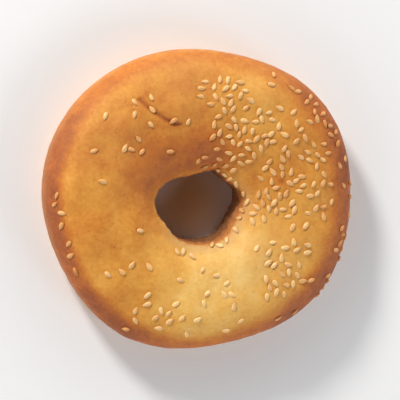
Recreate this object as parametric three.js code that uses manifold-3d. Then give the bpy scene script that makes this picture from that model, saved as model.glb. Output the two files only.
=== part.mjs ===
// A thin sesame bagel, lying on its flat underside with the seeded top up.
// It is one solid: a baked ring with a small hole off its centre, and the sesame seeds sunk into its crust.
// Millimetres, +Z up, origin under the middle of the bagel on the plane it rests on.

import * as THREE from "three";
import { mergeVertices } from "three/addons/utils/BufferGeometryUtils.js";
import Module from "manifold-3d";

// The ring's sizes.
const RIM_RADIUS = 50.2; // mean, at the widest line of the outer side
const THROAT_RADIUS = 12.85; // mean, of the wall of the hole
const HOLE_CENTRE = [-1.1, -2.05]; // from the middle of the rim
const CROWN_HEIGHT = 20.6; // mean height of the domed top
const GIRTH_HEIGHT = 8.8; // height of the widest line
const UNDERSIDE_SINK = 1.4; // how far the round underside would reach below the tray that flattens it
const DOME_REACH = 1.12; // how far in the dome would come down, as a share of the way to the hole's wall
const LIP_ROUND = 0.04; // rounding of the lip where the wall cuts the dome off, as a share of the same way

// How full the section is: 2 is an ellipse, and more is squarer.
const FULLNESS = { rim: 2.25, throat: 2.2, underside: 3.0 };

// The hand-shaped outlines, each as waves round the ring: [waves in a turn, height, direction of a crest
// in degrees].
const RIM_WAVES = [
  [2, 1.6, -14],
  [3, 0.5, 16],
  [4, 0.6, 52],
  [5, 0.5, 30],
];
const THROAT_WAVES = [
  [2, 1.2, -7],
  [3, 0.65, 41],
  [4, 0.38, -14],
  [5, 0.45, 10.5],
  [6, 0.27, 7.5],
  [7, 0.15, 13],
];
const CROWN_WAVES = [
  [1, 0.5, 20],
  [2, 0.45, 75],
  [3, 0.35, -50],
];

// Broad soft swellings of the top: [height, wavelength, heading in degrees, phase in degrees].
const SWELLS = [
  [0.28, 24, 25, 40],
  [0.22, 17, 100, 130],
  [0.16, 13, 160, 250],
];

// How finely the ring is faceted.
const STEPS_ROUND = 64;
const STEPS_OVER_DOME = 12; // from the rim to the lip of the hole
const STEPS_DOWN_WALL = 2; // from the lip to the widest line's height
const STEPS_UNDER_EDGE = 3;

// A sesame seed, and how it lies in the crust.
const SEED = { length: 2.8, width: 1.7, thickness: 1.0 };
const SEED_FACET_RADIUS = 1.18; // so that the few flat facets hold the round seed's volume
const SEED_TAPER = 0.3; // how much narrower the pointed end is
const SEED_RISE = 0.08; // height of its middle above the crust
const SEED_GAP = 2.2; // least distance between the middles of two seeds
const SEED_SIZE_SPREAD = 0.12;
const SEED_LEAN = 10; // degrees
const SEED_TRIES = 30;
const SLIVER = 0.08; // facets thinner than this, left by the joins, are merged away

// Where the seeds fell: direction round the ring, place over the section (0 the rim, 90 the crown, 180 the
// throat) and the half-width of the drift both ways, all in degrees, and how many seeds it has.
const DRIFTS = [
  { round: 32, over: 84, wide: 36, deep: 46, seeds: 50 },
  { round: 66, over: 100, wide: 26, deep: 28, seeds: 30 },
  { round: 83, over: 69, wide: 14, deep: 16, seeds: 15 },
  { round: 6, over: 88, wide: 24, deep: 36, seeds: 20 },
  { round: 2, over: 124, wide: 26, deep: 14, seeds: 9 },
  { round: -34, over: 94, wide: 18, deep: 26, seeds: 13 },
  { round: -42, over: 82, wide: 18, deep: 26, seeds: 13 },
  { round: -110, over: 136, wide: 14, deep: 8, seeds: 3 },
  { round: -78, over: 100, wide: 18, deep: 22, seeds: 8 },
  { round: -125, over: 92, wide: 20, deep: 26, seeds: 2 },
  { round: -113, over: 74, wide: 20, deep: 20, seeds: 10 },
  { round: -6, over: 150, wide: 80, deep: 5, seeds: 12 },
  { round: 72, over: 132, wide: 32, deep: 12, seeds: 7 },
  { round: 38, over: 38, wide: 36, deep: 14, seeds: 14 },
  { round: -36, over: 40, wide: 32, deep: 16, seeds: 6 },
  { round: -20, over: 22, wide: 45, deep: 7, seeds: 9 },
  { round: 180, over: 85, wide: 62, deep: 42, seeds: 12 },
  { round: 190, over: 36, wide: 40, deep: 12, seeds: 7 },
  { round: 128, over: 78, wide: 32, deep: 38, seeds: 8 },
  { round: -90, over: 45, wide: 50, deep: 18, seeds: 6 },
];
const FIRST_DRAW = 20261;

const CRUST_COLOUR = 0xdc9b4c;
const CRUST_ROUGHNESS = 0.6;

const rad = THREE.MathUtils.degToRad;

// A plain linear congruential generator, so that the seeds fall the same way every time.
function makeDraw(start) {
  let state = start;
  return () => {
    state = (state * 1664525 + 1013904223) % 4294967296;
    return state / 4294967296;
  };
}

// The sum of waves at a direction round the ring.
function waveSum(waves, round) {
  return waves.reduce(
    (sum, [turns, height, crest]) =>
      sum + height * Math.cos(turns * (round - rad(crest))),
    0,
  );
}

// Height that the broad swellings add at a place on the top.
function swell(x, y) {
  return SWELLS.reduce((sum, [height, length, heading, phase]) => {
    const along = x * Math.cos(rad(heading)) + y * Math.sin(rad(heading));
    return (
      sum + height * Math.sin((2 * Math.PI * along) / length + rad(phase))
    );
  }, 0);
}

// The dome's reach towards the hole, cut off by the hole's wall with a softly rounded lip.
function cutByWall(dome) {
  const past = Math.max(0, dome - (1 - LIP_ROUND));
  return Math.min(dome, 1 - LIP_ROUND) + LIP_ROUND * (1 - Math.exp(-past / LIP_ROUND));
}

// A point of the ring's skin. round is the direction round the ring, and over the angle over the section,
// 0 at the rim's widest line, a quarter turn at the crown and half a turn at the wall of the hole.
function skinPoint(round, over) {
  const rim = RIM_RADIUS + waveSum(RIM_WAVES, round);
  const throat = THROAT_RADIUS + waveSum(THROAT_WAVES, round);
  const outer = [rim * Math.cos(round), rim * Math.sin(round)];
  const inner = [
    HOLE_CENTRE[0] + throat * Math.cos(round),
    HOLE_CENTRE[1] + throat * Math.sin(round),
  ];
  const across = Math.cos(over);
  const up = Math.sin(over);
  const side = across >= 0 ? FULLNESS.rim : FULLNESS.throat;
  const power = 2 / (up >= 0 ? side : FULLNESS.underside);
  const share = Math.abs(across) ** power;
  const reach = across >= 0 ? share : -cutByWall(share * DOME_REACH);
  const lift = Math.abs(up) ** power;
  const [x, y] = [0, 1].map(
    (k) => (outer[k] + inner[k]) / 2 + (reach * (outer[k] - inner[k])) / 2,
  );
  const crown = CROWN_HEIGHT + waveSum(CROWN_WAVES, round) + swell(x, y);
  const z =
    up >= 0
      ? GIRTH_HEIGHT + (crown - GIRTH_HEIGHT) * lift
      : Math.max(0, GIRTH_HEIGHT - (GIRTH_HEIGHT + UNDERSIDE_SINK) * lift);
  return new THREE.Vector3(x, y, z);
}

// The stops over the section: evenly over the dome, down the wall from the lip, then down to the flat of
// the underside and up again.
function sectionStops() {
  const lip = Math.PI - Math.acos(DOME_REACH ** (-FULLNESS.throat / 2));
  const flatLift =
    (GIRTH_HEIGHT / (GIRTH_HEIGHT + UNDERSIDE_SINK)) **
    (FULLNESS.underside / 2);
  const edge = Math.asin(flatLift);
  const dome = Array.from(
    { length: STEPS_OVER_DOME },
    (_, k) => (lip * k) / STEPS_OVER_DOME,
  );
  const wall = Array.from(
    { length: STEPS_DOWN_WALL },
    (_, k) => lip + ((Math.PI - lip) * k) / STEPS_DOWN_WALL,
  );
  const down = Array.from(
    { length: STEPS_UNDER_EDGE + 1 },
    (_, k) => Math.PI + (edge * k) / STEPS_UNDER_EDGE,
  );
  const up = down.map((stop) => 3 * Math.PI - stop).reverse();
  return [...dome, ...wall, ...down, ...up.slice(0, -1)];
}

// The ring as a closed grid of facets.
function ringGeometry() {
  const stops = sectionStops();
  const points = [];
  for (let i = 0; i < STEPS_ROUND; i++)
    for (const over of stops)
      points.push(...skinPoint((2 * Math.PI * i) / STEPS_ROUND, over));
  const at = (i, j) =>
    (i % STEPS_ROUND) * stops.length + (j % stops.length);
  const faces = [];
  for (let i = 0; i < STEPS_ROUND; i++)
    for (let j = 0; j < stops.length; j++) {
      const [a, b, c, d] = [at(i, j), at(i + 1, j), at(i + 1, j + 1), at(i, j + 1)];
      faces.push(a, b, c, a, c, d);
    }
  const geometry = new THREE.BufferGeometry();
  geometry.setAttribute("position", new THREE.Float32BufferAttribute(points, 3));
  geometry.setIndex(faces);
  return geometry;
}

// The skin's outward normal, from two short steps along it.
function skinNormal(round, over) {
  const step = 1e-3;
  const alongRing = skinPoint(round + step, over).sub(skinPoint(round - step, over));
  const alongSection = skinPoint(round, over + step).sub(skinPoint(round, over - step));
  return alongRing.cross(alongSection).normalize();
}

// One place for each seed, drift by drift. A place too near another seed is drawn again.
function seedPlaces() {
  const draw = makeDraw(FIRST_DRAW);
  const places = [];
  for (const drift of DRIFTS)
    for (let k = 0; k < drift.seeds; k++)
      for (let attempt = 0; attempt < SEED_TRIES; attempt++) {
        const round = rad(drift.round + drift.wide * (draw() + draw() - 1));
        const over = rad(drift.over + drift.deep * (draw() + draw() - 1));
        const spin = 2 * Math.PI * draw();
        const size = 1 + SEED_SIZE_SPREAD * (2 * draw() - 1);
        const lean = rad(SEED_LEAN) * (2 * draw() - 1);
        const point = skinPoint(round, over);
        if (places.some((other) => other.point.distanceTo(point) < SEED_GAP))
          continue;
        places.push({ point, normal: skinNormal(round, over), spin, size, lean });
        break;
      }
  return places;
}

// A seed with a round end and a pointed end, along X.
function seedGeometry() {
  const geometry = new THREE.IcosahedronGeometry(SEED_FACET_RADIUS, 0);
  const position = geometry.getAttribute("position");
  for (let k = 0; k < position.count; k++) {
    const along = position.getX(k);
    const narrow = 1 - (SEED_TAPER * (1 + along)) / 2;
    position.setXYZ(
      k,
      (along * SEED.length) / 2,
      (position.getY(k) * narrow * SEED.width) / 2,
      (position.getZ(k) * SEED.thickness) / 2,
    );
  }
  return geometry;
}

// Turns a seed to lie on the skin at its place.
function seedMatrix({ point, normal, spin, size, lean }) {
  const lying = new THREE.Quaternion().setFromUnitVectors(
    new THREE.Vector3(0, 0, 1),
    normal,
  );
  const turned = new THREE.Quaternion().setFromAxisAngle(
    new THREE.Vector3(0, 0, 1),
    spin,
  );
  const tipped = new THREE.Quaternion().setFromAxisAngle(
    new THREE.Vector3(0, 1, 0),
    lean,
  );
  const middle = point.clone().addScaledVector(normal, SEED_RISE);
  return new THREE.Matrix4().compose(
    middle,
    lying.multiply(turned).multiply(tipped),
    new THREE.Vector3(size, size, size),
  );
}

const wasm = await Module();
wasm.setup();

function toSolid(geometry) {
  const bare = new THREE.BufferGeometry();
  bare.setAttribute("position", geometry.getAttribute("position"));
  bare.setIndex(geometry.index);
  const merged = mergeVertices(bare, 1e-4);
  return new wasm.Manifold(
    new wasm.Mesh({
      numProp: 3,
      vertProperties: new Float32Array(merged.getAttribute("position").array),
      triVerts: new Uint32Array(merged.index.array),
    }),
  );
}

function toGeometry(solid) {
  const mesh = solid.getMesh();
  const geometry = new THREE.BufferGeometry();
  geometry.setAttribute(
    "position",
    new THREE.BufferAttribute(new Float32Array(mesh.vertProperties), 3),
  );
  geometry.setIndex(new THREE.BufferAttribute(new Uint32Array(mesh.triVerts), 1));
  geometry.computeVertexNormals();
  return geometry;
}

// The outer skin alone, so that a hollow sealed in between touching seeds is filled.
function filled(joined) {
  return joined
    .decompose()
    .reduce((largest, body) => (body.volume() > largest.volume() ? body : largest));
}

const ring = ringGeometry();
ring.computeBoundingBox();
const middle = ring.boundingBox.getCenter(new THREE.Vector3());

let solid = toSolid(ring);
for (const place of seedPlaces()) {
  const seed = seedGeometry().applyMatrix4(seedMatrix(place));
  solid = solid.add(toSolid(seed));
}

const crust = new THREE.MeshStandardMaterial({
  color: CRUST_COLOUR,
  roughness: CRUST_ROUGHNESS,
  metalness: 0,
});
const bagelMesh = new THREE.Mesh(toGeometry(filled(solid.asOriginal().simplify(SLIVER))), crust);
bagelMesh.name = "bagel";
bagelMesh.position.set(-middle.x, -middle.y, 0);

const bagel = new THREE.Group();
bagel.add(bagelMesh);

export default bagel;
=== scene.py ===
"""The looks of a thin sesame bagel, lying on its flat underside with the seeded top up.

The crust is a closed ring that Geometry Nodes work out from the bagel's sizes: a domed top whose inner
side the wall of the hole cuts off in a short lip, and a flat underside. The same nodes press the seeds'
dents and a crease into it. The sesame seeds are one piece, instanced where they fell. Sizes are in
millimetres unless a name says otherwise, and the meshes are made in metres.
"""

import math

import bpy
import numpy as np
from mathutils import Matrix, Quaternion, Vector


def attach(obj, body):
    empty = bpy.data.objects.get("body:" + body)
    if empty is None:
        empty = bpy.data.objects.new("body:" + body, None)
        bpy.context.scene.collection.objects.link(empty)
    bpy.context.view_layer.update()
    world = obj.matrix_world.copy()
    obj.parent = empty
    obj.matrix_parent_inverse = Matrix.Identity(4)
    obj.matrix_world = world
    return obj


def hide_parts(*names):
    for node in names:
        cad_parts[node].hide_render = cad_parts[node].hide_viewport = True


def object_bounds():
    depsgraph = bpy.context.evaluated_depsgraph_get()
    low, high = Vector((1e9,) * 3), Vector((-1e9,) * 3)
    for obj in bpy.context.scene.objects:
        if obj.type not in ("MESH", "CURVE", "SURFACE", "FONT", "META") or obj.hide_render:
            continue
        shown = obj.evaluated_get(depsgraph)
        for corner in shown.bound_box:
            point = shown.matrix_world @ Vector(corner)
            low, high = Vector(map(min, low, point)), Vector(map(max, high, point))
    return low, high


MM = 0.001

# The ring's sizes, the same as the solid's.
RIM_RADIUS = 50.2  # mean, at the widest line of the outer side
THROAT_RADIUS = 12.85  # mean, of the wall of the hole
HOLE_CENTRE = (-1.1, -2.05)  # from the middle of the rim
CROWN_HEIGHT = 20.6  # mean height of the domed top
GIRTH_HEIGHT = 8.8  # height of the widest line
UNDERSIDE_SINK = 1.4  # how far the round underside would reach below the tray that flattens it
DOME_REACH = 1.12  # how far in the dome would come down, as a share of the way to the hole's wall
LIP_ROUND = 0.04  # rounding of the lip where the wall cuts the dome off, as a share of the same way

# How full the section is: 2 is an ellipse, and more is squarer.
FULLNESS = {"rim": 2.25, "throat": 2.2, "underside": 3.0}

# Outlines as waves round the ring: (waves in a turn, height, direction of a crest in degrees).
RIM_WAVES = ((2, 1.6, -14), (3, 0.5, 16), (4, 0.6, 52), (5, 0.5, 30))
THROAT_WAVES = (
    (2, 1.2, -7),
    (3, 0.65, 41),
    (4, 0.38, -14),
    (5, 0.45, 10.5),
    (6, 0.27, 7.5),
    (7, 0.15, 13),
)
CROWN_WAVES = ((1, 0.5, 20), (2, 0.45, 75), (3, 0.35, -50))

# Broad soft swellings of the top: (height, wavelength, heading in degrees, phase in degrees).
SWELLS = ((0.28, 24, 25, 40), (0.22, 17, 100, 130), (0.16, 13, 160, 250))

# The solid's own facets round the ring, which its middle was taken from.
SOLID_STEPS_ROUND = 64

# Fineness of the skin.
STEPS_ROUND = 480
STEPS_OVER_TOP = 140
STEPS_UNDER_EDGE = 18
STEPS_UNDER_FLAT = 20

# A sesame seed, and how it lies in the crust.
SEED_LENGTH = 2.8
SEED_WIDTH = 1.7
SEED_THICKNESS = 1.0
SEED_TAPER = 0.3  # how much narrower the pointed end is
SEED_POINT = 0.25  # drawn in further at the pointed end
SEED_RISE = 0.08  # height of its middle above the crust
SEED_GAP = 2.2  # least distance between the middles of two seeds
SEED_SIZE_SPREAD = 0.12  # share by which a seed is larger or smaller at most
SEED_LEAN_DEG = 10  # most that a seed tips along its length
SEED_TRIES = 30  # draws for a seed before it is given up
SEED_STEPS_ROUND = 10
SEED_STEPS_ALONG = 6

# The draw that the seeds fell by, a common 32-bit one: its start, factor, addend and number of values.
FIRST_DRAW = 20261
DRAW_FACTOR = 1664525
DRAW_ADDEND = 1013904223
DRAW_VALUES = 2**32

# Where the seeds fell, in degrees: direction round the ring, place over the section (0 the rim, 90 the
# crown, 180 the throat), half-width of the drift both ways, and how many seeds it has.
DRIFTS = (
    (32, 84, 36, 46, 50),
    (66, 100, 26, 28, 30),
    (83, 69, 14, 16, 15),
    (6, 88, 24, 36, 20),
    (2, 124, 26, 14, 9),
    (-34, 94, 18, 26, 13),
    (-42, 82, 18, 26, 13),
    (-110, 136, 14, 8, 3),
    (-78, 100, 18, 22, 8),
    (-125, 92, 20, 26, 2),
    (-113, 74, 20, 20, 10),
    (-6, 150, 80, 5, 12),
    (72, 132, 32, 12, 7),
    (38, 38, 36, 14, 14),
    (-36, 40, 32, 16, 6),
    (-20, 22, 45, 7, 9),
    (180, 85, 62, 42, 12),
    (190, 36, 40, 12, 7),
    (128, 78, 32, 38, 8),
    (-90, 45, 50, 18, 6),
)

# A short crease in the crust: its stops, as directions round the ring and places over the section in
# degrees.
CREASE = ((122.5, 61), (121, 71), (118.5, 80), (115, 88), (111.5, 91.5), (108, 93))

# The skin's relief: the width and the height of each pattern, and of the dents round the seeds and the
# crease.
RELIEF = {
    "Lump size": 9,
    "Lump height": 0.5,
    "Blister size": 2.6,
    "Blister height": 0.3,
    "Crumb size": 1.8,
    "Crumb height": 1.8,
    "Dent reach": 2.3,
    "Dent depth": 0.14,
    "Crease reach": 1.5,
    "Crease depth": 0.7,
}
PATTERN_SEED = 3.0
TOAST_SEED = 5  # of how brown each seed is
RELIEF_FADE = (0.05, 2.5)  # heights above the flat underside: (none, full)
CRUMB_START = (0.90, 1.0)  # shares of the dome's reach to the hole's wall: (none, full)

# How brown the crust is, from 0, the palest, to 1, the darkest; in the places marked below, the same
# scale also carries painted shade and painted light.
BAKE_TOP = 0.40
# The wall of the hole is coloured darker below its lip: partly its browning, partly painted shade of
# the hole.
WALL_BAKE_AND_SHADE = 0.38  # added on the wall of the hole, below its lip
BAKE_WALL_FOOT = 0.03  # added again lower down, to the underside
BAKE_LIP = -0.14  # added on the thin edge round the hole, most on the side of the next direction
LIP_PALEST_DEG = -130
LIP_EVEN = 0.65  # share of the lip's change that is the same all round
# Painted shade: the crease is coloured darker along its bottom.
CREASE_PAINTED_SHADE = 0.6  # added in the crease
BAKE_UNDERSIDE = 0.28  # added on the flat that lay on the hot tray
BAKE_PROUD = 0.35  # added for each millimetre that the relief stands proud
# What is added on the outer side, and how far in it reaches as a share of the ring's half width, by the
# direction round the ring: (degrees, added, reach).
BAKE_RIM = (
    (-180, 0.43, 0.34),
    (-150, 0.41, 0.40),
    (-120, 0.44, 0.50),
    (-90, 0.36, 0.44),
    (-50, 0.46, 0.70),
    (-15, 0.42, 0.72),
    (20, 0.36, 0.70),
    (50, 0.28, 0.50),
    (90, 0.14, 0.24),
    (130, 0.18, 0.22),
    (160, 0.38, 0.32),
    (180, 0.43, 0.34),
)
RIM_FULL = 0.7  # where it is added in full, as a share of the way from where it starts to the rim
# Places on the top that are browner or paler: (x, y, reach, added). Those above and left of the hole
# are partly browning, partly painted shade, and those below and right of it partly painted light.
BAKE_AND_LIGHT_PATCHES = (
    (10, -17, 17, -0.25),
    (2, -36, 14, -0.22),
    (-1, -22, 11, -0.08),
    (-18, -28, 13, -0.14),
    (-15, 12, 13, 0.29),
    (0, 15, 9, 0.30),
    (18, 3, 7, 0.12),
    (-24, -2, 14, 0.05),
    (30, 20, 16, 0.08),
    (-28, -34, 12, 0.08),
    (26, -20, 8, -0.10),
    (24, 6.5, 1.3, 0.25),
    (-37, 24, 12, 0.12),
    (-14, 40, 15, 0.11),
    (-43, -6, 6, 0.12),
    (9, 31, 9, -0.05),
    (22, 34, 12, -0.06),
)

# How dull and pale the skin is where steam kept it from browning, from 0 to 1: round the hole, most on
# the side of this direction, down the hole's wall, low on the outer side and on the underside.
DULL_LIP = 0.65
DULLEST_DEG = -65
DULL_TURN = (-0.6, 0.6)  # the cosine of the angle from that direction: (none, full)
DULL_WALL = 0.25
DULL_FLANK = 0.55
DULL_UNDERSIDE = 0.35
# Duller places on the top: (x, y, reach, share).
DULL_PATCHES = (
    (17, -17, 13, 0.25),
    (-35, 25, 17, 0.14),
    (-8, 42, 17, 0.18),
    (18, 38, 14, 0.12),
)

# Where these tones fade in over the section, as shares of the way up, from 1 at the crown through 0 at
# the widest line to -1 underneath: (none, full).
TOP_FADE = (-0.05, 0.25)
PATCH_FADE = (0.0, 0.5)
SIDE_FADE = (-0.75, -0.2)
WALL_FADE = (-0.95, -0.6)
WALL_FOOT_FADE = (0.2, -0.4)
TRAY_FADE = (-0.5, -0.95)
DULL_FLANK_FADE = (0.35, -0.5)
DULL_UNDERSIDE_FADE = (-0.65, -0.9)
# The same towards the hole, as shares of the dome's reach to the hole's wall.
LIP_PLACE = 0.955
LIP_SPREAD = 0.045
WALL_START = (0.97, 1.05)
DULL_LIP_START = (0.76, 0.98)
DULL_LIP_END = (1.06, 0.99)
DULL_WALL_START = (0.98, 1.05)


# Small tools


def linear(hex_colour):
    """An sRGB hex colour as linear red, green, blue and alpha."""
    channels = [int(hex_colour[k : k + 2], 16) / 255 for k in (1, 3, 5)]
    return [
        c / 12.92 if c <= 0.04045 else ((c + 0.055) / 1.055) ** 2.4 for c in channels
    ] + [1.0]


def add(tree, kind, settings=None, sockets=None):
    """A node with its settings, and its inputs set to values or linked from other nodes' outputs."""
    node = tree.nodes.new(kind)
    for name, value in (settings or {}).items():
        setattr(node, name, value)
    for key, value in (sockets or {}).items():
        if isinstance(value, bpy.types.NodeSocket):
            tree.links.new(value, node.inputs[key])
        else:
            node.inputs[key].default_value = value
    return node


def new_tree(name, inputs):
    """A Geometry Nodes tree with a geometry in and out, and named inputs: name to kind of socket."""
    tree = bpy.data.node_groups.new(name, "GeometryNodeTree")
    for key, kind in {"Geometry": "Geometry", **inputs}.items():
        tree.interface.new_socket(
            key, in_out="INPUT", socket_type="NodeSocket" + kind
        )
    tree.interface.new_socket(
        "Geometry", in_out="OUTPUT", socket_type="NodeSocketGeometry"
    )
    return tree


def link_object(name, mesh):
    piece = bpy.data.objects.new(name, mesh)
    bpy.context.scene.collection.objects.link(piece)
    return piece


def through_nodes(source, tree, values, name):
    """The plain mesh that a Geometry Nodes tree makes of an object, as a new object at the origin."""
    modifier = source.modifiers.new(tree.name, "NODES")
    modifier.node_group = tree
    identifiers = {
        item.name: item.identifier
        for item in tree.interface.items_tree
        if item.in_out == "INPUT"
    }
    for key, value in values.items():
        modifier[identifiers[key]] = value
    graph = bpy.context.evaluated_depsgraph_get()
    mesh = bpy.data.meshes.new_from_object(
        source.evaluated_get(graph), preserve_all_data_layers=True, depsgraph=graph
    )
    mesh.name = name
    bpy.data.objects.remove(source)
    return link_object(name, mesh)


def smooth(low, high, value):
    """0 at low, 1 at high, and a soft step in between. low may be the greater."""
    share = np.clip((value - low) / (high - low), 0, 1)
    return share * share * (3 - 2 * share)


# The ring's form, for the places of what lies on it


def wave_sum(waves, round_):
    return sum(
        height * np.cos(turns * (round_ - math.radians(crest)))
        for turns, height, crest in waves
    )


def swell(x, y):
    total = 0
    for height, length, heading, phase in SWELLS:
        turn = math.radians(heading)
        along = x * math.cos(turn) + y * math.sin(turn)
        total = total + height * np.sin(
            2 * math.pi * along / length + math.radians(phase)
        )
    return total


def section(over):
    """Shares of the way across, 1 at the rim and -1 at the wall of the hole, and of the way up. The
    third is the share that the dome would reach towards the hole if no wall cut it off."""
    across, up = np.cos(over), np.sin(over)
    side = np.where(across >= 0, FULLNESS["rim"], FULLNESS["throat"])
    power = 2 / np.where(up >= 0, side, FULLNESS["underside"])
    reach = np.abs(across) ** power
    dome = reach * DOME_REACH
    past = np.maximum(dome - (1 - LIP_ROUND), 0)
    cut = np.minimum(dome, 1 - LIP_ROUND) + LIP_ROUND * (1 - np.exp(-past / LIP_ROUND))
    return (
        np.where(across >= 0, reach, -cut),
        np.abs(up) ** power,
        np.where(across >= 0, 0, dome),
    )


def skin(round_, over):
    """Points of the ring's skin. round_ is the direction round the ring, and over the angle over the
    section: 0 at the rim's widest line, a quarter turn at the crown, half a turn at the hole."""
    rim = RIM_RADIUS + wave_sum(RIM_WAVES, round_)
    throat = THROAT_RADIUS + wave_sum(THROAT_WAVES, round_)
    turn = (np.cos(round_), np.sin(round_))
    across, lift, _ = section(over)
    outer = [rim * turn[k] for k in (0, 1)]
    inner = [HOLE_CENTRE[k] + throat * turn[k] for k in (0, 1)]
    x, y = (
        (outer[k] + inner[k]) / 2 + across * (outer[k] - inner[k]) / 2 for k in (0, 1)
    )
    crown = CROWN_HEIGHT + wave_sum(CROWN_WAVES, round_) + swell(x, y)
    above = GIRTH_HEIGHT + (crown - GIRTH_HEIGHT) * lift
    below = np.maximum(0, GIRTH_HEIGHT - (GIRTH_HEIGHT + UNDERSIDE_SINK) * lift)
    return np.stack([x, y, np.where(np.sin(over) >= 0, above, below)], axis=-1)


def skin_normal(round_, over):
    step = 1e-3
    along_ring = skin(round_ + step, over) - skin(round_ - step, over)
    along_section = skin(round_, over + step) - skin(round_, over - step)
    normal = np.cross(along_ring, along_section)
    return normal / np.linalg.norm(normal, axis=-1, keepdims=True)


def middle_of_ring():
    """The middle of the ring's box, which the solid was moved to stand over."""
    girth = skin(
        np.linspace(0, 2 * math.pi, SOLID_STEPS_ROUND, endpoint=False), np.array(0.0)
    )
    middle = (girth.max(0) + girth.min(0)) / 2
    return np.array([middle[0], middle[1], 0.0])


# The seeds' places


def make_draw(start):
    """The same draws from 0 to 1, one a call, that the solid's seeds fell by."""
    state = start

    def draw():
        nonlocal state
        state = (state * DRAW_FACTOR + DRAW_ADDEND) % DRAW_VALUES
        return state / DRAW_VALUES

    return draw


def seed_places():
    """(point, normal, rotation, size, direction round, place over) of each seed, drift by drift. A
    place too near another seed is drawn again."""
    draw = make_draw(FIRST_DRAW)
    places = []
    for round_mid, over_mid, wide, deep, count in DRIFTS:
        for _ in range(count):
            for _ in range(SEED_TRIES):
                round_ = math.radians(round_mid + wide * (draw() + draw() - 1))
                over = math.radians(over_mid + deep * (draw() + draw() - 1))
                spin = 2 * math.pi * draw()
                size = 1 + SEED_SIZE_SPREAD * (2 * draw() - 1)
                lean = math.radians(SEED_LEAN_DEG) * (2 * draw() - 1)
                point = skin(np.array(round_), np.array(over))
                if any(np.linalg.norm(point - other[0]) < SEED_GAP for other in places):
                    continue
                normal = skin_normal(np.array(round_), np.array(over))
                lying = Vector((0, 0, 1)).rotation_difference(Vector(normal))
                turned = Quaternion((0, 0, 1), spin)
                tipped = Quaternion((0, 1, 0), lean)
                rotation = lying @ turned @ tipped
                places.append((point, normal, rotation, size, round_, over))
                break
    return places


def seed_points(places, middle):
    """A mesh of loose points, one for each seed, that holds how the seed is turned, its size, and how
    brown the crust under it is, with the crust's painted shade and light."""
    points, normals, turns, sizes, round_, over = zip(*places)
    mesh = bpy.data.meshes.new("seed_places")
    middles = (np.array(points) + np.array(normals) * SEED_RISE - middle) * MM
    mesh.from_pydata(middles.tolist(), [], [])
    bake_and_shading = bake_and_shading_at(np.array(round_), np.array(over), np.array(points))
    for name, kind, values in (
        ("turn", "QUATERNION", turns),
        ("size", "FLOAT", sizes),
        ("bake_and_shading", "FLOAT", bake_and_shading),
    ):
        layer = mesh.attributes.new(name, kind, "POINT")
        for entry, value in zip(layer.data, values):
            entry.value = value
    return link_object("seed_places", mesh)


def crease_line(middle):
    """The crease as a line of edges on the skin."""
    stops = [skin(np.array(math.radians(r)), np.array(math.radians(o))) for r, o in CREASE]
    mesh = bpy.data.meshes.new("crease_line")
    edges = [(k, k + 1) for k in range(len(stops) - 1)]
    mesh.from_pydata([tuple((stop - middle) * MM) for stop in stops], edges, [])
    return link_object("crease_line", mesh)


# The crust


def section_stops():
    """Angles over the section, close together on top and round the lower edges, wider over the flat."""
    flat_lift = (GIRTH_HEIGHT / (GIRTH_HEIGHT + UNDERSIDE_SINK)) ** (
        FULLNESS["underside"] / 2
    )
    edge = math.asin(flat_lift)
    top = np.linspace(0, math.pi, STEPS_OVER_TOP, endpoint=False)
    down = math.pi + np.linspace(0, edge, STEPS_UNDER_EDGE, endpoint=False)
    flat = np.linspace(
        math.pi + edge, 2 * math.pi - edge, STEPS_UNDER_FLAT, endpoint=False
    )
    up = np.linspace(2 * math.pi - edge, 2 * math.pi, STEPS_UNDER_EDGE, endpoint=False)
    return np.concatenate([top, down, flat, up])


def blank_ring():
    """A closed grid, rows round the ring and columns over the section, whose points hold only the two
    angles."""
    stops = section_stops()
    rows, columns = STEPS_ROUND, len(stops)
    row, column = np.arange(rows)[:, None], np.arange(columns)[None, :]
    corners = ((0, 0), (1, 0), (1, 1), (0, 1))
    faces = np.stack(
        [
            (((row + r) % rows) * columns + (column + c) % columns).ravel()
            for r, c in corners
        ],
        axis=-1,
    )
    mesh = bpy.data.meshes.new("blank_ring")
    mesh.from_pydata(np.zeros((rows * columns, 3)).tolist(), [], faces.tolist())
    turn = np.linspace(0, 2 * math.pi, rows, endpoint=False)
    for name, values in (
        ("round", np.repeat(turn, columns)),
        ("over", np.tile(stops, rows)),
    ):
        layer = mesh.attributes.new(name, "FLOAT", "POINT")
        layer.data.foreach_set("value", values.astype(np.float32))
    return link_object("blank_ring", mesh)


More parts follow.
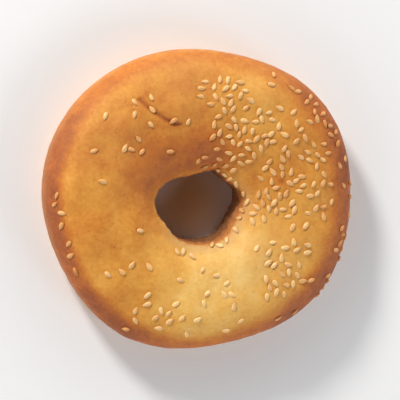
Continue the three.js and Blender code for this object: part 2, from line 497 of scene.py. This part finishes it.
# The ring's rule as steps of arithmetic: (result, operation, operands). An operand is a number, an
# input of the tree, or the result of an earlier step.
SECTION_STEPS = (
    ("across", "COSINE", "over"),
    ("up", "SINE", "over"),
    ("on inner side", "LESS_THAN", "across", 0.0),
    ("on underside", "LESS_THAN", "up", 0.0),
    ("throat less rim", "SUBTRACT", "Throat fullness", "Rim fullness"),
    ("side", "MULTIPLY_ADD", "on inner side", "throat less rim", "Rim fullness"),
    ("underside less side", "SUBTRACT", "Underside fullness", "side"),
    ("fullness", "MULTIPLY_ADD", "on underside", "underside less side", "side"),
    ("power", "DIVIDE", 2.0, "fullness"),
    ("across size", "ABSOLUTE", "across"),
    ("reach", "POWER", "across size", "power"),
    ("up size", "ABSOLUTE", "up"),
    ("lift", "POWER", "up size", "power"),
    ("dome", "MULTIPLY", "reach", "Dome reach"),
    ("lip start", "SUBTRACT", 1.0, "Lip rounding"),
    ("past lip start", "SUBTRACT", "dome", "lip start"),
    ("past", "MAXIMUM", "past lip start", 0.0),
    ("past share", "DIVIDE", "past", "Lip rounding"),
    ("past fall", "MULTIPLY", "past share", -1.0),
    ("left to wall", "EXPONENT", "past fall"),
    ("gone to wall", "SUBTRACT", 1.0, "left to wall"),
    ("up to lip", "MINIMUM", "dome", "lip start"),
    ("cut", "MULTIPLY_ADD", "gone to wall", "Lip rounding", "up to lip"),
    ("reach and cut", "ADD", "reach", "cut"),
    ("inner change", "MULTIPLY", "on inner side", "reach and cut"),
    ("place", "SUBTRACT", "reach", "inner change"),
    ("inner dome", "MULTIPLY", "dome", "on inner side"),
    ("turn x", "COSINE", "round"),
    ("turn y", "SINE", "round"),
)
PLAN_STEPS = (
    ("outer x", "MULTIPLY", "Rim radius", "turn x"),
    ("outer y", "MULTIPLY", "Rim radius", "turn y"),
    ("inner x", "MULTIPLY_ADD", "Throat radius", "turn x", "Hole x"),
    ("inner y", "MULTIPLY_ADD", "Throat radius", "turn y", "Hole y"),
    ("sum x", "ADD", "outer x", "inner x"),
    ("sum y", "ADD", "outer y", "inner y"),
    ("width x", "SUBTRACT", "outer x", "inner x"),
    ("width y", "SUBTRACT", "outer y", "inner y"),
    ("double x", "MULTIPLY_ADD", "place", "width x", "sum x"),
    ("double y", "MULTIPLY_ADD", "place", "width y", "sum y"),
    ("x", "MULTIPLY", "double x", 0.5),
    ("y", "MULTIPLY", "double y", 0.5),
)
HEIGHT_STEPS = (
    ("dome height", "SUBTRACT", "Crown height", "Girth height"),
    ("above", "MULTIPLY_ADD", "dome height", "lift", "Girth height"),
    ("full drop", "ADD", "Girth height", "Underside sink"),
    ("drop", "MULTIPLY", "full drop", "lift"),
    ("round below", "SUBTRACT", "Girth height", "drop"),
    ("below", "MAXIMUM", "round below", 0.0),
    ("below less above", "SUBTRACT", "below", "above"),
    ("z", "MULTIPLY_ADD", "on underside", "below less above", "above"),
)
# The fineness of the relief's three patterns, and where each starts.
PATTERN_STEPS = (
    ("lump scale", "DIVIDE", 1.0, "Lump size"),
    ("lump start", "ADD", "Pattern seed", 0.0),
    ("blister scale", "DIVIDE", 1.0, "Blister size"),
    ("blister start", "ADD", "Pattern seed", 4.0),
    ("crumb scale", "DIVIDE", 1.0, "Crumb size"),
    ("crumb start", "ADD", "Pattern seed", 8.0),
)
# What the relief adds along the normals: lumps and blisters over all of the crust, crumb on the wall of
# the hole, and the dents pressed by the seeds and the crease. Nothing moves the flat that the bagel
# rests on.
RELIEF_STEPS = (
    ("lumps", "SUBTRACT", "lump noise", 0.5),
    ("lump rise", "MULTIPLY", "lumps", "Lump height"),
    ("blisters", "SUBTRACT", "blister noise", 0.5),
    ("skin rise", "MULTIPLY_ADD", "blisters", "Blister height", "lump rise"),
    ("crumbs", "SUBTRACT", "crumb noise", 0.5),
    ("crumb rise", "MULTIPLY", "crumbs", "Crumb height"),
    ("wall rise", "MULTIPLY_ADD", "crumb rise", "on wall", "skin rise"),
    ("seed share", "DIVIDE", "to seed", "Dent reach"),
    ("seed square", "MULTIPLY", "seed share", "seed share"),
    ("seed nearness", "SUBTRACT", 1.0, "seed square"),
    ("seed near", "MAXIMUM", "seed nearness", 0.0),
    ("seed near square", "MULTIPLY", "seed near", "seed near"),
    ("seed dent", "MULTIPLY", "seed near square", "Dent depth"),
    ("pressed", "SUBTRACT", "wall rise", "seed dent"),
    ("crease share", "DIVIDE", "to crease", "Crease reach"),
    ("crease nearness", "SUBTRACT", 1.0, "crease share"),
    ("crease near", "MAXIMUM", "crease nearness", 0.0),
    ("crease near square", "MULTIPLY", "crease near", "crease near"),
    ("crease dent", "MULTIPLY", "crease near square", "Crease depth"),
    ("creased", "SUBTRACT", "pressed", "crease dent"),
    ("rise", "MULTIPLY", "creased", "free"),
)


def form_steps():
    """The whole rule as steps: the section, the waves of the outlines and the crown, the plan, the
    swellings of the top, and the height."""
    steps = [*SECTION_STEPS, *PATTERN_STEPS]
    for size, waves in (
        ("Rim radius", RIM_WAVES),
        ("Throat radius", THROAT_WAVES),
        ("Crown height", CROWN_WAVES),
    ):
        for turns, height, crest in waves:
            start = -turns * math.radians(crest)
            steps += [
                ("turned", "MULTIPLY_ADD", "round", float(turns), start),
                ("wave", "COSINE", "turned"),
                (size, "MULTIPLY_ADD", "wave", height * MM, size),
            ]
    steps += PLAN_STEPS
    for height, length, heading, phase in SWELLS:
        heading = math.radians(heading)
        per_metre = 2 * math.pi / (length * MM)
        steps += [
            ("along x", "MULTIPLY", "x", math.cos(heading)),
            ("along", "MULTIPLY_ADD", "y", math.sin(heading), "along x"),
            ("angle", "MULTIPLY_ADD", "along", per_metre, math.radians(phase)),
            ("swelling", "SINE", "angle"),
            ("Crown height", "MULTIPLY_ADD", "swelling", height * MM, "Crown height"),
        ]
    return [*steps, *HEIGHT_STEPS]


def ring_tree():
    """Geometry Nodes that turn the blank ring into the bagel's crust."""
    sizes = (
        "Rim radius",
        "Throat radius",
        "Hole x",
        "Hole y",
        "Crown height",
        "Girth height",
        "Underside sink",
        "Dome reach",
        "Lip rounding",
        "Rim fullness",
        "Throat fullness",
        "Underside fullness",
        *RELIEF,
        "Pattern seed",
    )
    inputs = {name: "Float" for name in sizes}
    inputs.update(
        {
            "Middle": "Vector",
            "Seeds": "Object",
            "Crease": "Object",
            "Material": "Material",
        }
    )
    tree = new_tree("bagel ring", inputs)
    given = add(tree, "NodeGroupInput").outputs
    known = {name: given[name] for name in sizes}

    for name in ("round", "over"):
        known[name] = add(
            tree, "GeometryNodeInputNamedAttribute", {"data_type": "FLOAT"}, {0: name}
        ).outputs[0]
    for result, operation, *operands in form_steps():
        known[result] = add(
            tree,
            "ShaderNodeMath",
            {"operation": operation},
            {k: known.get(value, value) for k, value in enumerate(operands)},
        ).outputs[0]
    point = add(
        tree,
        "ShaderNodeCombineXYZ",
        None,
        {"X": known["x"], "Y": known["y"], "Z": known["z"]},
    ).outputs[0]
    over_middle = add(
        tree,
        "ShaderNodeVectorMath",
        {"operation": "SUBTRACT"},
        {0: point, 1: given["Middle"]},
    ).outputs[0]
    ring = add(
        tree,
        "GeometryNodeSetPosition",
        None,
        {"Geometry": given["Geometry"], "Position": over_middle},
    ).outputs[0]
    even = add(tree, "GeometryNodeSetShadeSmooth", None, {0: ring}).outputs[0]

    place = add(tree, "GeometryNodeInputPosition").outputs[0]
    for pattern, detail in (("lump", 2.0), ("blister", 1.0), ("crumb", 3.0)):
        known[pattern + " noise"] = add(
            tree,
            "ShaderNodeTexNoise",
            {"noise_dimensions": "4D"},
            {
                "Vector": place,
                "W": known[pattern + " start"],
                "Scale": known[pattern + " scale"],
                "Detail": detail,
            },
        ).outputs[0]
    for target, kind, distance in (
        ("Seeds", "POINTS", "to seed"),
        ("Crease", "EDGES", "to crease"),
    ):
        shape = add(
            tree, "GeometryNodeObjectInfo", None, {"Object": given[target]}
        ).outputs["Geometry"]
        known[distance] = add(
            tree, "GeometryNodeProximity", {"target_element": kind}, {0: shape}
        ).outputs["Distance"]
    height = add(tree, "ShaderNodeSeparateXYZ", None, {0: place}).outputs["Z"]
    known["free"] = add(
        tree,
        "ShaderNodeMapRange",
        {"interpolation_type": "SMOOTHSTEP"},
        {
            "Value": height,
            "From Min": RELIEF_FADE[0] * MM,
            "From Max": RELIEF_FADE[1] * MM,
        },
    ).outputs[0]
    known["on wall"] = add(
        tree,
        "ShaderNodeMapRange",
        {"interpolation_type": "SMOOTHSTEP"},
        {
            "Value": known["inner dome"],
            "From Min": CRUMB_START[0],
            "From Max": CRUMB_START[1],
        },
    ).outputs[0]
    for result, operation, *operands in RELIEF_STEPS:
        known[result] = add(
            tree,
            "ShaderNodeMath",
            {"operation": operation},
            {k: known.get(value, value) for k, value in enumerate(operands)},
        ).outputs[0]
    normal = add(tree, "GeometryNodeInputNormal").outputs[0]
    offset = add(
        tree,
        "ShaderNodeVectorMath",
        {"operation": "SCALE"},
        {0: normal, "Scale": known["rise"]},
    ).outputs[0]
    marked = even
    for name, value in (("rise", "rise"), ("crease", "crease near square")):
        marked = add(
            tree,
            "GeometryNodeStoreNamedAttribute",
            {"data_type": "FLOAT", "domain": "POINT"},
            {"Geometry": marked, "Name": name, "Value": known[value]},
        ).outputs[0]
    shaped = add(
        tree, "GeometryNodeSetPosition", None, {"Geometry": marked, "Offset": offset}
    ).outputs[0]
    real = add(tree, "GeometryNodeRealizeInstances", None, {0: shaped}).outputs[0]
    done = add(
        tree,
        "GeometryNodeSetMaterial",
        None,
        {"Geometry": real, "Material": given["Material"]},
    ).outputs[0]
    add(tree, "NodeGroupOutput", None, {0: done})
    return tree


def read_values(mesh, name):
    values = np.zeros(len(mesh.vertices), np.float32)
    mesh.attributes[name].data.foreach_get("value", values)
    return values.astype(float)


def patch_share(points, up, x, y, reach):
    """1 in the middle of a round patch of the top, and less and less round it."""
    away = np.hypot(points[:, 0] - x, points[:, 1] - y)
    return np.exp(-((away / reach) ** 2)) * smooth(*PATCH_FADE, up)


def bake_and_shading_at(round_, over, points):
    """How brown the crust is at points of the skin, with painted shade on the hole's wall and painted
    light and shade in the patches round the hole.
    """
    across, up = np.cos(over), np.sin(over)
    _, _, dome = section(over)
    direction = (np.degrees(round_) + 180) % 360 - 180
    stops, added, reach = zip(*BAKE_RIM)
    start = 1 - np.interp(direction, stops, reach)
    full = start + RIM_FULL * (1 - start)
    rim = np.interp(direction, stops, added) * smooth(*SIDE_FADE, up)
    rim = rim * smooth(start, full, np.where(up > 0, across, 1))
    # Painted shade, on top of browning: the hole's wall darker below its lip.
    wall = WALL_BAKE_AND_SHADE * smooth(*WALL_START, dome)
    wall = wall + BAKE_WALL_FOOT * smooth(*WALL_FOOT_FADE, up) * (across < 0)
    wall = wall * smooth(*WALL_FADE, up)
    lip = np.exp(-(((dome - LIP_PLACE) / LIP_SPREAD) ** 2)) * smooth(*TOP_FADE, up)
    facing = np.cos(round_ - math.radians(LIP_PALEST_DEG))
    lip = BAKE_LIP * lip * (LIP_EVEN + (1 - LIP_EVEN) * facing)
    bake_and_shading = BAKE_TOP + rim + wall + lip + BAKE_UNDERSIDE * smooth(*TRAY_FADE, up)
    # Patches of browning, with painted shade above the hole and painted light below it.
    for x, y, reach, added in BAKE_AND_LIGHT_PATCHES:
        bake_and_shading = bake_and_shading + added * patch_share(points, up, x, y, reach)
    return bake_and_shading


def dull_at(round_, over, points):
    """How far the skin is steamed dull and pale."""
    across, up = np.cos(over), np.sin(over)
    _, _, dome = section(over)
    facing = smooth(*DULL_TURN, np.cos(round_ - math.radians(DULLEST_DEG)))
    lip = smooth(*DULL_LIP_START, dome) * smooth(*DULL_LIP_END, dome) * (up > 0)
    top = DULL_LIP * lip * facing
    for x, y, reach, share in DULL_PATCHES:
        top = np.maximum(top, share * patch_share(points, up, x, y, reach))
    wall = np.where(up > 0, smooth(*DULL_WALL_START, dome), across < 0)
    flank = smooth(*DULL_FLANK_FADE, up) * (across > 0)
    sides = DULL_WALL * wall + DULL_FLANK * flank
    return top + sides + (DULL_UNDERSIDE - sides) * smooth(*DULL_UNDERSIDE_FADE, up)


def write_bake_and_shading(mesh, middle):
    """Stores how brown and how dull each point of the crust is, from where it lies and how far it
    stands out, with the painted shade and light that the browning carries."""
    round_, over = read_values(mesh, "round"), read_values(mesh, "over")
    points = np.zeros(len(mesh.vertices) * 3, np.float32)
    mesh.vertices.foreach_get("co", points)
    points = points.reshape(-1, 3) / MM + middle
    # The crease's painted shade is added here.
    bake_and_shading = bake_and_shading_at(round_, over, points) + CREASE_PAINTED_SHADE * read_values(mesh, "crease")
    proud = read_values(mesh, "rise") / MM * smooth(*TOP_FADE, np.sin(over))
    bake_and_shading = bake_and_shading + BAKE_PROUD * proud
    for name, values in (("bake_and_shading", bake_and_shading), ("dull", dull_at(round_, over, points))):
        layer = mesh.attributes.new(name, "FLOAT", "POINT")
        layer.data.foreach_set("value", values.astype(np.float32))


def make_crust(points, middle):
    crease = crease_line(middle)
    values = {
        "Rim radius": RIM_RADIUS * MM,
        "Throat radius": THROAT_RADIUS * MM,
        "Hole x": HOLE_CENTRE[0] * MM,
        "Hole y": HOLE_CENTRE[1] * MM,
        "Crown height": CROWN_HEIGHT * MM,
        "Girth height": GIRTH_HEIGHT * MM,
        "Underside sink": UNDERSIDE_SINK * MM,
        "Dome reach": DOME_REACH,
        "Lip rounding": LIP_ROUND,
        "Rim fullness": FULLNESS["rim"],
        "Throat fullness": FULLNESS["throat"],
        "Underside fullness": FULLNESS["underside"],
        **{name: size * MM for name, size in RELIEF.items()},
        "Pattern seed": PATTERN_SEED,
        "Middle": tuple(middle * MM),
        "Seeds": points,
        "Crease": crease,
        "Material": baked_crust(),
    }
    crust = through_nodes(blank_ring(), ring_tree(), values, "crust")
    bpy.data.objects.remove(crease)
    write_bake_and_shading(crust.data, middle)
    return crust


# The seeds


def seed_tree():
    """Geometry Nodes: a tapered seed on each point, turned and sized as the point says."""
    sizes = ("Seed length", "Seed width", "Seed thickness")
    inputs = {name: "Float" for name in sizes}
    inputs.update({"Taper": "Float", "Point": "Float"})
    inputs.update({"Random seed": "Int", "Material": "Material"})
    tree = new_tree("sesame seeds", inputs)
    given = add(tree, "NodeGroupInput").outputs
    ball = add(
        tree,
        "GeometryNodeMeshUVSphere",
        None,
        {"Segments": SEED_STEPS_ROUND, "Rings": SEED_STEPS_ALONG, "Radius": 1.0},
    ).outputs[0]
    place = add(tree, "GeometryNodeInputPosition").outputs[0]
    axes = add(tree, "ShaderNodeSeparateXYZ", None, {0: place}).outputs
    known = {name: given[name] for name in (*sizes, "Taper", "Point")}
    known.update({"along": axes["Z"], "wide": axes["X"], "thick": axes["Y"]})
    for result, operation, *operands in (
        ("from round end", "MULTIPLY_ADD", "along", 0.5, 0.5),
        ("taken", "MULTIPLY", "from round end", "Taper"),
        ("left", "SUBTRACT", 1.0, "taken"),
        ("near tip", "POWER", "from round end", 4.0),
        ("drawn in", "MULTIPLY", "near tip", "Point"),
        ("left at tip", "SUBTRACT", "left", "drawn in"),
        ("tapered", "MULTIPLY", "wide", "left at tip"),
        ("half length", "MULTIPLY", "Seed length", 0.5),
        ("half width", "MULTIPLY", "Seed width", 0.5),
        ("half thickness", "MULTIPLY", "Seed thickness", 0.5),
        ("x", "MULTIPLY", "along", "half length"),
        ("y", "MULTIPLY", "tapered", "half width"),
        ("z", "MULTIPLY", "thick", "half thickness"),
    ):
        known[result] = add(
            tree,
            "ShaderNodeMath",
            {"operation": operation},
            {k: known.get(value, value) for k, value in enumerate(operands)},
        ).outputs[0]
    point = add(
        tree,
        "ShaderNodeCombineXYZ",
        None,
        {"X": known["x"], "Y": known["y"], "Z": known["z"]},
    ).outputs[0]
    marked = add(
        tree,
        "GeometryNodeStoreNamedAttribute",
        {"data_type": "FLOAT", "domain": "POINT"},
        {"Geometry": ball, "Name": "tip", "Value": known["from round end"]},
    ).outputs[0]
    seed = add(
        tree, "GeometryNodeSetPosition", None, {"Geometry": marked, "Position": point}
    ).outputs[0]
    even = add(tree, "GeometryNodeSetShadeSmooth", None, {0: seed}).outputs[0]
    turn = add(
        tree, "GeometryNodeInputNamedAttribute", {"data_type": "QUATERNION"}, {0: "turn"}
    ).outputs[0]
    size = add(
        tree, "GeometryNodeInputNamedAttribute", {"data_type": "FLOAT"}, {0: "size"}
    ).outputs[0]
    placed = add(
        tree,
        "GeometryNodeInstanceOnPoints",
        None,
        {
            "Points": given["Geometry"],
            "Instance": even,
            "Rotation": turn,
            "Scale": size,
        },
    ).outputs[0]
    toast = add(
        tree,
        "FunctionNodeRandomValue",
        {"data_type": "FLOAT"},
        {"Seed": given["Random seed"]},
    ).outputs[1]
    tinted = add(
        tree,
        "GeometryNodeStoreNamedAttribute",
        {"data_type": "FLOAT", "domain": "INSTANCE"},
        {"Geometry": placed, "Name": "toast", "Value": toast},
    ).outputs[0]
    real = add(tree, "GeometryNodeRealizeInstances", None, {0: tinted}).outputs[0]
    done = add(
        tree,
        "GeometryNodeSetMaterial",
        None,
        {"Geometry": real, "Material": given["Material"]},
    ).outputs[0]
    add(tree, "NodeGroupOutput", None, {0: done})
    return tree


def make_seeds(points):
    values = {
        "Seed length": SEED_LENGTH * MM,
        "Seed width": SEED_WIDTH * MM,
        "Seed thickness": SEED_THICKNESS * MM,
        "Taper": SEED_TAPER,
        "Point": SEED_POINT,
        "Random seed": TOAST_SEED,
        "Material": sesame_hull(),
    }
    return through_nodes(points, seed_tree(), values, "sesame_seeds")


# Materials


def baked_crust():
    """Wheat dough, proved and baked: starch that set to a satin skin and browned where it stood proud.
    It gives a soft broad gloss, gold in the light and red-brown where the heat was strongest, with fine
    uneven mottling."""
    material = bpy.data.materials.new("baked crust")
    material.use_nodes = True
    tree = material.node_tree
    shader = tree.nodes["Principled BSDF"]
    place = add(tree, "ShaderNodeTexCoord").outputs["Object"]
    # How brown the crust is, with painted shade on the hole's wall and in the crease, and painted light
    # and shade round the hole.
    bake_and_shading = add(tree, "ShaderNodeAttribute", {"attribute_name": "bake_and_shading"}).outputs["Fac"]
    # Pin holes where small bubbles burst in the skin, 0.7 mm wide and a little browner.
    to_bubble = add(
        tree, "ShaderNodeTexVoronoi", None, {"Vector": place, "Scale": 1 / (2.6 * MM)}
    ).outputs["Distance"]
    hole_share = add(
        tree,
        "ShaderNodeMapRange",
        {"interpolation_type": "SMOOTHSTEP"},
        {"Value": to_bubble, "From Min": 0.04, "From Max": 0.17, "To Min": 1.0, "To Max": 0.0},
    ).outputs[0]
    bake_and_shading = add(
        tree,
        "ShaderNodeMath",
        {"operation": "MULTIPLY_ADD"},
        {0: hole_share, 1: 0.08, 2: bake_and_shading},
    ).outputs[0]
    # Mottling: broad where the oven's heat was uneven, fine where the dough's bubbles lie under the
    # skin.
    for size, amount in ((14, 0.28), (4.5, 0.30), (1.2, 0.24), (0.45, 0.16)):
        noise = add(
            tree,
            "ShaderNodeTexNoise",
            None,
            {"Vector": place, "Scale": 1 / (size * MM), "Detail": 3.0},
        ).outputs["Fac"]
        centred = add(
            tree, "ShaderNodeMath", {"operation": "SUBTRACT"}, {0: noise, 1: 0.5}
        ).outputs[0]
        bake_and_shading = add(
            tree,
            "ShaderNodeMath",
            {"operation": "MULTIPLY_ADD"},
            {0: centred, 1: amount, 2: bake_and_shading},
        ).outputs[0]
    ramp = add(tree, "ShaderNodeValToRGB", None, {"Fac": bake_and_shading})
    colours = (
        (0.00, "#F2C876"),
        (0.20, "#E8AE51"),
        (0.42, "#D69036"),
        (0.60, "#C27023"),
        (0.80, "#A25524"),
        (1.00, "#6F3A1E"),
    )
    stops = ramp.color_ramp.elements
    while len(stops) < len(colours):
        stops.new(0.5)
    for stop, (at, colour) in zip(stops, colours):
        stop.position = at
        stop.color = linear(colour)
    dull = add(tree, "ShaderNodeAttribute", {"attribute_name": "dull"}).outputs["Fac"]
    skin_colour = add(
        tree,
        "ShaderNodeMix",
        {"data_type": "RGBA"},
        {"Factor": dull, 6: ramp.outputs["Color"], 7: linear("#C79862")},
    ).outputs[2]
    tree.links.new(skin_colour, shader.inputs["Base Color"])
    # Wrinkles of the dried skin, 0.35 mm across.
    grain = add(
        tree,
        "ShaderNodeTexNoise",
        None,
        {"Vector": place, "Scale": 1 / (0.35 * MM), "Detail": 4.0},
    ).outputs["Fac"]
    rough = add(
        tree,
        "ShaderNodeMapRange",
        None,
        {"Value": grain, "To Min": 0.56, "To Max": 0.78},
    ).outputs[0]
    tree.links.new(rough, shader.inputs["Roughness"])
    wrinkled = add(
        tree,
        "ShaderNodeBump",
        None,
        {"Height": grain, "Strength": 0.45, "Distance": 0.14 * MM},
    ).outputs[0]
    pitted = add(
        tree,
        "ShaderNodeBump",
        {"invert": True},
        {"Height": hole_share, "Strength": 0.5, "Distance": 0.2 * MM, "Normal": wrinkled},
    ).outputs[0]
    tree.links.new(pitted, shader.inputs["Normal"])
    shader.inputs["IOR"].default_value = 1.4
    shader.inputs["Subsurface Weight"].default_value = 0.08
    shader.inputs["Subsurface Radius"].default_value = (1.0, 0.45, 0.2)
    shader.inputs["Subsurface Scale"].default_value = 0.0012
    return material


def sesame_hull():
    """Hulled white sesame, toasted with the crust it lies on: a waxy cream skin, browner towards its
    pointed end. As it follows the crust's tone, it also takes the crust's painted shade and light."""
    material = bpy.data.materials.new("toasted sesame")
    material.use_nodes = True
    tree = material.node_tree
    shader = tree.nodes["Principled BSDF"]
    toast = add(tree, "ShaderNodeAttribute", {"attribute_name": "toast"}).outputs["Fac"]
    bake_and_shading = add(tree, "ShaderNodeAttribute", {"attribute_name": "bake_and_shading"}).outputs["Fac"]
    tip = add(tree, "ShaderNodeAttribute", {"attribute_name": "tip"}).outputs["Fac"]
    share = add(
        tree,
        "ShaderNodeMapRange",
        None,
        {"Value": tip, "From Min": 0.6, "From Max": 1.0, "To Min": 0.0, "To Max": 0.3},
    ).outputs[0]
    for value, amount in ((toast, 0.3), (bake_and_shading, 0.9)):
        share = add(
            tree,
            "ShaderNodeMath",
            {"operation": "MULTIPLY_ADD"},
            {0: value, 1: amount, 2: share},
        ).outputs[0]
    colour = add(
        tree,
        "ShaderNodeMix",
        {"data_type": "RGBA"},
        {"Factor": share, 6: linear("#F8D594"), 7: linear("#C8853F")},
    ).outputs[2]
    tree.links.new(colour, shader.inputs["Base Color"])
    shader.inputs["Roughness"].default_value = 0.42
    shader.inputs["IOR"].default_value = 1.47
    shader.inputs["Subsurface Weight"].default_value = 0.15
    shader.inputs["Subsurface Radius"].default_value = (1.0, 0.6, 0.35)
    shader.inputs["Subsurface Scale"].default_value = 0.0006
    return material


def pale_board():
    """A board painted nearly white: flat paint, with no gloss that could mirror the bagel."""
    material = bpy.data.materials.new("matt pale board")
    material.use_nodes = True
    shader = material.node_tree.nodes["Principled BSDF"]
    shader.inputs["Base Color"].default_value = linear("#F9F9F8")
    shader.inputs["Roughness"].default_value = 0.9
    shader.inputs["Specular IOR Level"].default_value = 0.1
    return material


# The stage and the camera

# The photograph's view of the bagel's face: from this far to its left and above it.
CAMERA_LEFT_DEG = 17.5
CAMERA_ABOVE_DEG = 10.0
CAMERA_DISTANCE_M = 1.6
FRAME_WIDTH_M = 0.128

FLOOR_HALF_WIDTH_M = 8.0
# The lamps, discs that face the bagel: (name, place and width in metres, watts, colour).
LAMPS = (
    ("key", (-0.67, 1.03, 0.62), 0.24, 14.6, "#FFFCF9"),
    ("fill", (0.9, -0.7, 0.75), 0.45, 2.6, "#F8FAFF"),
)
# The studio: pale walls all round, this bright, under a dark ceiling.
WALLS_COLOUR = "#FDFDFF"
WALLS_STRENGTH = 1.62
CEILING_START = (0.45, 0.73)  # height of a direction of length 1: (end of the walls, all dark)


def make_camera(aim_height):
    left, above = math.radians(CAMERA_LEFT_DEG), math.radians(CAMERA_ABOVE_DEG)
    back = Vector(
        (
            -math.sin(left) * math.cos(above),
            math.sin(above),
            math.cos(left) * math.cos(above),
        )
    )
    up = (Vector((0, 1, 0)) - back * back.y).normalized()
    right = up.cross(back)
    data = bpy.data.cameras.new("camera")
    data.lens = data.sensor_width * CAMERA_DISTANCE_M / FRAME_WIDTH_M
    data.clip_start, data.clip_end = 0.05, 50
    camera = link_object("camera", data)
    turn = Matrix((right, up, back)).transposed().to_4x4()
    aim = Vector((0, 0, aim_height))
    camera.matrix_world = Matrix.Translation(aim + back * CAMERA_DISTANCE_M) @ turn
    bpy.context.scene.camera = camera


def make_light(name, place, size, power, colour):
    data = bpy.data.lights.new(name, "AREA")
    data.shape = "DISK"
    data.size = size
    data.energy = power
    data.color = linear(colour)[:3]
    lamp = link_object(name, data)
    lamp.location = place
    lamp.rotation_euler = (-Vector(place)).to_track_quat("-Z", "Y").to_euler()
    lamp.visible_camera = False


def make_stage():
    mesh = bpy.data.meshes.new("floor")
    side = FLOOR_HALF_WIDTH_M
    corners = [(-side, -side), (side, -side), (side, side), (-side, side)]
    mesh.from_pydata([(x, y, 0.0) for x, y in corners], [], [(0, 1, 2, 3)])
    mesh.materials.append(pale_board())
    link_object("floor", mesh)
    for lamp in LAMPS:
        make_light(*lamp)
    world = bpy.data.worlds.new("studio")
    world.use_nodes = True
    tree = world.node_tree
    background = tree.nodes["Background"]
    background.inputs["Color"].default_value = linear(WALLS_COLOUR)
    heading = add(tree, "ShaderNodeTexCoord").outputs["Generated"]
    height = add(tree, "ShaderNodeSeparateXYZ", None, {0: heading}).outputs["Z"]
    shade = add(
        tree,
        "ShaderNodeMapRange",
        {"interpolation_type": "SMOOTHSTEP"},
        {
            "Value": height,
            "From Min": CEILING_START[0],
            "From Max": CEILING_START[1],
            "To Min": WALLS_STRENGTH,
            "To Max": 0.0,
        },
    ).outputs[0]
    tree.links.new(shade, background.inputs["Strength"])
    bpy.context.scene.world = world
    bpy.context.scene.view_settings.view_transform = "Standard"


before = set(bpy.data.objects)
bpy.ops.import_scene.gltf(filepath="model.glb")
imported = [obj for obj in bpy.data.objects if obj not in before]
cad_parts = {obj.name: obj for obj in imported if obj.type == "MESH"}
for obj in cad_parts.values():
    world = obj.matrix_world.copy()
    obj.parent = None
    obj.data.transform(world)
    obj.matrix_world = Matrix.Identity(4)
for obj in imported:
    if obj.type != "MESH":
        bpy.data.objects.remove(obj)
solid_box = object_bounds()

make_camera(solid_box[1].z / 2)
make_stage()

middle = middle_of_ring()
points = seed_points(seed_places(), middle)
crust = make_crust(points, middle)
seeds = make_seeds(points)

for piece, slot in ((crust, "crust"), (seeds, "sesame")):
    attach(piece, "root")
    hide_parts("bagel")
